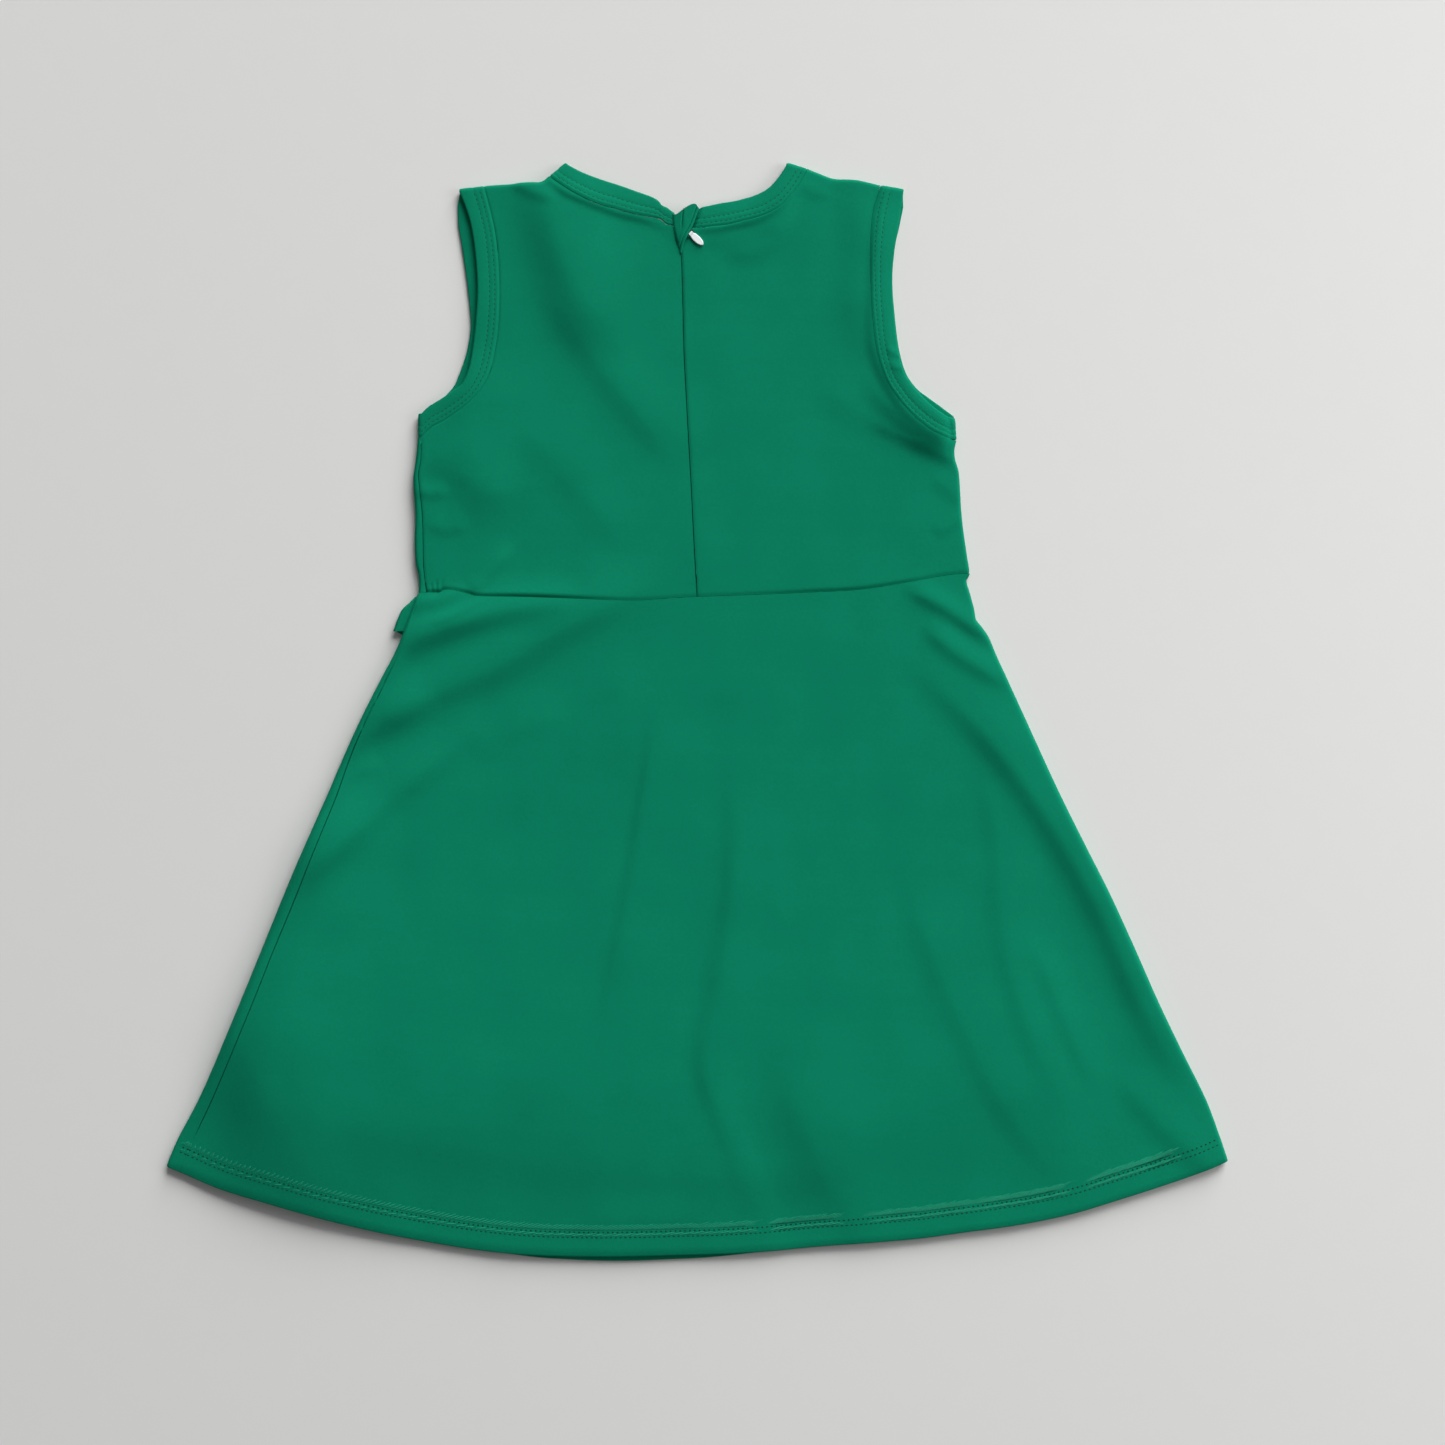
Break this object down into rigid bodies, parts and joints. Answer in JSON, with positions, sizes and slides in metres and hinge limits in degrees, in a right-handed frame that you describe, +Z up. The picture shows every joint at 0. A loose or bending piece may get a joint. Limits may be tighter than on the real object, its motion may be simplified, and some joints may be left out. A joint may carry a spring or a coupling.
{
  "type": "athletic dress",
  "caption": "Child's sleeveless athletic dress in green stretch knit with a flared skirt, lying flat with its back up and a centre back zip with an oval pull.",
  "frame": {"origin": "middle of the bounding box on the surface that the dress lies on", "axes": "+X to the right as the back is seen, +Y from the hem towards the neck, +Z up from the surface through the layers of cloth"},
  "size_m": [0.5843, 0.6033, 0.0088],
  "materials": {
    "green_knit": "plain double knit with a soft dull surface",
    "green_band": "the same knit folded double and sewn with twin rows",
    "green_tape": "woven zip tape",
    "green_slider": "painted, satin",
    "white_pull": "smooth, slightly glossy"
  },
  "bodies": {
    "dress": {"back_bodice_left": "green_knit", "back_bodice_right": "green_knit", "front_bodice": "green_knit", "back_skirt": "green_knit", "front_skirt": "green_knit", "neck_band": "green_band", "armhole_band_left": "green_band", "armhole_band_right": "green_band", "zip_flap": "green_band", "zip_tape_left": "green_tape", "zip_tape_right": "green_tape", "zip_slider": "green_slider", "waist_tab": "green_band"},
    "pull_tab": {"zip_pull": "white_pull"}
  },
  "joints": [
    {"name": "pull_tab_hinge", "type": "hinge", "parent": "dress", "child": "pull_tab", "pos_m": [-0.0033, 0.2627, 0.0052], "axis": [-0.6822, -0.7312, 0], "range_deg": [0, 100]}
  ]
}
